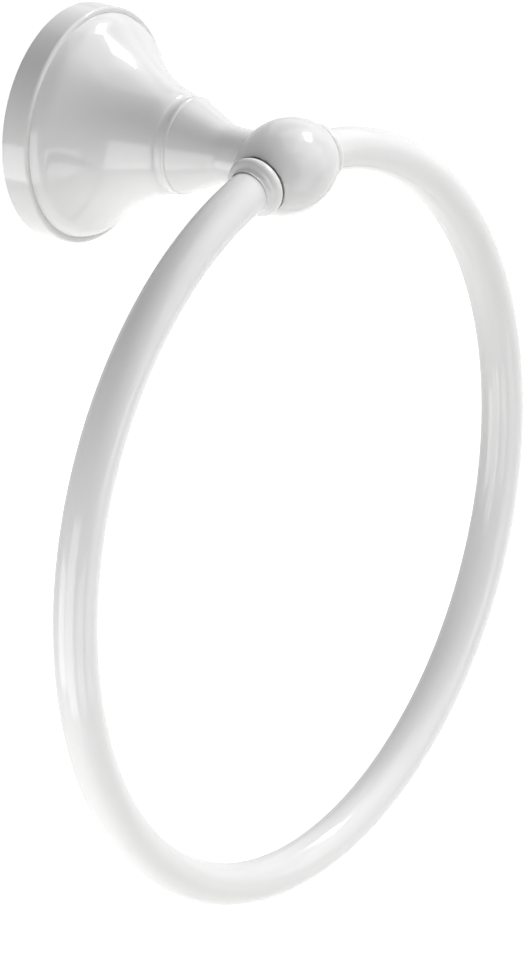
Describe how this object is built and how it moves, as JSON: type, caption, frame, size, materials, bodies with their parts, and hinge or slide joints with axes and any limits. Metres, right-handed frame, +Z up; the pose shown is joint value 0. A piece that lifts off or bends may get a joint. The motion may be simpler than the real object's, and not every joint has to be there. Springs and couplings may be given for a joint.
{
  "type": "towel ring",
  "caption": "Wall mounted towel ring: a bell shaped post with a round hub that holds an open tube ring, in white enamel.",
  "frame": {"origin": "centre of the post's round back face, on the wall", "axes": "+Z up, +Y into the wall along the post's axis, +X along the wall to the right seen from the front; the ring hangs in a plane parallel to the wall"},
  "size_m": [0.1724, 0.0664, 0.1937],
  "materials": {
    "post_enamel": "gloss white enamel on a zinc die casting",
    "ring_enamel": "gloss white enamel on steel",
    "bracket_zinc": "bright zinc plate on pressed steel",
    "screw_steel": "plain stainless steel"
  },
  "bodies": {
    "root": {"post": "post_enamel", "ring": "ring_enamel", "collar_left": "ring_enamel", "collar_right": "ring_enamel", "wall_bracket": "bracket_zinc", "set_screw": "screw_steel"}
  },
  "joints": []
}
